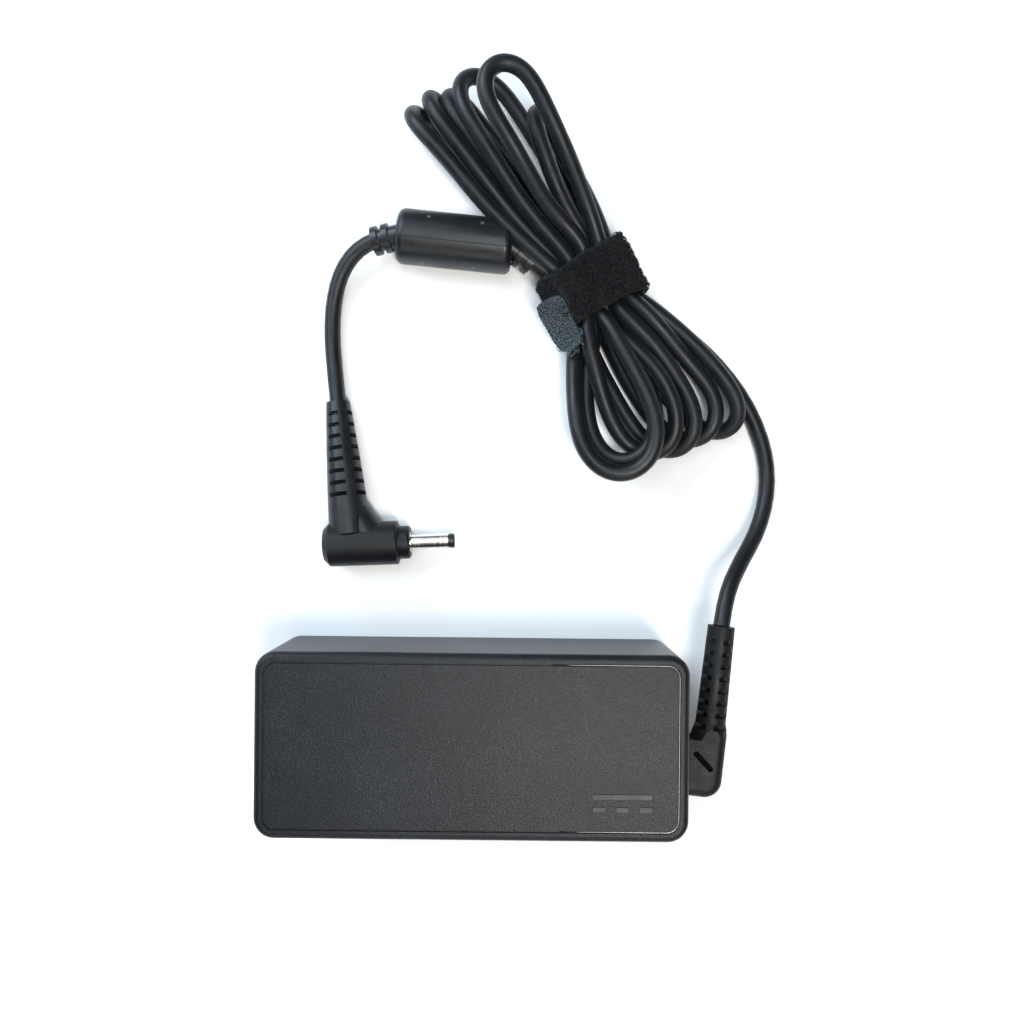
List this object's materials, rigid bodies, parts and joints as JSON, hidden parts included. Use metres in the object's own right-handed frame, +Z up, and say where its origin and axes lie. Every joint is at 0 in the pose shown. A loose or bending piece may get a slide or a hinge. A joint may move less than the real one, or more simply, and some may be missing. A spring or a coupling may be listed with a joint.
{
  "type": "laptop power adapter",
  "caption": "Slim rectangular laptop power adapter brick with a grooved top panel, ribbed elbow, tied coil of output cord, ferrite bead and right-angle barrel plug.",
  "frame": {"origin": "centre of the brick's underside, on the surface it stands on", "axes": "+X along the brick towards the end the output cord leaves, +Y across it towards the side where the coiled cord lies, +Z up through the grooved panel"},
  "size_m": [0.1174, 0.173, 0.0287],
  "materials": {
    "casing_black": "fine spark-eroded texture",
    "label": "smooth printed film, blank",
    "inlet_plastic": "moulded, semi-gloss",
    "nickel": "bright nickel plate",
    "board": "solder mask",
    "sheet": "insulating paper board",
    "aluminium": "mill finish",
    "yellow_plastic": "moulded",
    "black_epoxy": "moulded epoxy",
    "can_sleeve": "shrink sleeve",
    "ferrite": "sintered ferrite",
    "copper": "enamelled copper wire",
    "bobbin": "phenolic",
    "ceramic_blue": "dipped ceramic disc",
    "ceramic_green": "dipped disc",
    "wire_insulation": "PVC insulation",
    "soft_black": "satin soft PVC",
    "cord_black": "satin PVC jacket",
    "strap_fabric": "napped loop pile",
    "hook_tape": "fine moulded hooks",
    "plug_black": "satin moulded PVC",
    "plug_insulator": "moulded",
    "contact_metal": "plated spring contact"
  },
  "bodies": {
    "root": {"ac_inlet": "inlet_plastic", "ac_wires": "wire_insulation", "bottom_cover": "casing_black", "bridge_rectifier": "black_epoxy", "bulk_capacitor": "can_sleeve", "choke_core": "ferrite", "choke_windings": "copper", "control_chip": "black_epoxy", "cord_hank": "cord_black", "cord_lead": "cord_black", "cord_plug_run": "cord_black", "dc_wires": "wire_insulation", "elbow_strain_relief": "soft_black", "ferrite_core": "ferrite", "ferrite_overmould": "soft_black", "fuse": "black_epoxy", "heat_spreader": "aluminium", "inlet_pins": "nickel", "inrush_thermistor": "ceramic_green", "insulation_sheet": "sheet", "main_board": "board", "optocoupler": "black_epoxy", "output_capacitors": "can_sleeve", "output_rectifier": "black_epoxy", "plug_body": "plug_black", "plug_center_contact": "contact_metal", "plug_collar": "plug_black", "plug_insulator": "plug_insulator", "plug_sleeve": "nickel", "plug_strain_relief": "soft_black", "plug_tip_ring": "plug_insulator", "primary_heatsink": "aluminium", "primary_switch": "black_epoxy", "rating_label": "label", "secondary_heatsink": "aluminium", "strap_band": "strap_fabric", "strap_tab": "hook_tape", "top_cover": "casing_black", "transformer_bobbin": "bobbin", "transformer_core": "ferrite", "transformer_winding": "yellow_plastic", "x_capacitor": "yellow_plastic", "y_capacitor": "ceramic_blue"}
  },
  "joints": []
}
